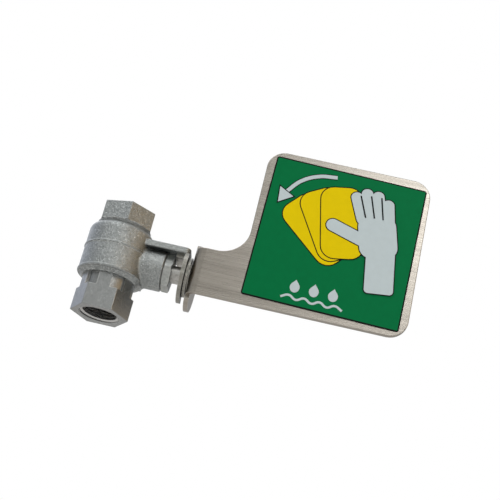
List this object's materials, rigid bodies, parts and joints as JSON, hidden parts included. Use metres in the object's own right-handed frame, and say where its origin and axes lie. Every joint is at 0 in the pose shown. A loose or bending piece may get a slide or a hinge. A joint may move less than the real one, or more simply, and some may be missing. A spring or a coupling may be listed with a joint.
{
  "type": "push-plate ball valve",
  "caption": "Stainless ball valve with threaded ports and a bent sheet push plate that turns the stem a quarter turn and stays open, for an emergency wash fitting.",
  "frame": {"origin": "on the flow axis, where the thread of the lower port begins, just inside its face", "axes": "+Z along the flow axis to the upper port, +X along the stem to the handle, -Y to the user who pushes the plate"},
  "size_m": [0.175, 0.0358, 0.1103],
  "materials": {
    "cast_stainless": "blasted casting",
    "turned_stainless": "turned bar",
    "polished_ball": "polished",
    "sheet_stainless": "brushed sheet",
    "seal_white": "moulded fluoropolymer",
    "seal_rubber": "matt",
    "sign_film": "laminated print"
  },
  "bodies": {
    "valve": {"valve_body": "cast_stainless", "end_cap": "cast_stainless", "body_gasket": "seal_white", "seat_ring_upper": "seal_white", "seat_ring_lower": "seal_white", "thrust_washer": "seal_white", "stem_packing": "seal_white", "packing_follower": "turned_stainless", "gland_nut": "turned_stainless", "stop_plate": "sheet_stainless", "stop_plate_screws": "turned_stainless"},
    "lever": {"stem": "turned_stainless", "stem_o_ring": "seal_rubber", "spacer_washer": "sheet_stainless", "disc_spring": "sheet_stainless", "push_handle": "sheet_stainless", "handle_washer": "turned_stainless", "lock_washer": "turned_stainless", "handle_screw": "turned_stainless", "stop_pin": "turned_stainless", "sign_label": "sign_film"},
    "ball": {"ball": "polished_ball"}
  },
  "joints": [
    {"name": "lever_turn", "type": "hinge", "parent": "valve", "child": "lever", "pos_m": [0.03, 0, 0.0309], "axis": [-1, 0, 0], "range_deg": [0, 90]},
    {"name": "ball_turn", "type": "hinge", "parent": "valve", "child": "ball", "pos_m": [0, 0, 0.0309], "axis": [-1, 0, 0], "range_deg": [0, 90]}
  ],
  "couplings": [
    {"joint": "ball_turn", "follows": "lever_turn", "ratio": 1}
  ]
}
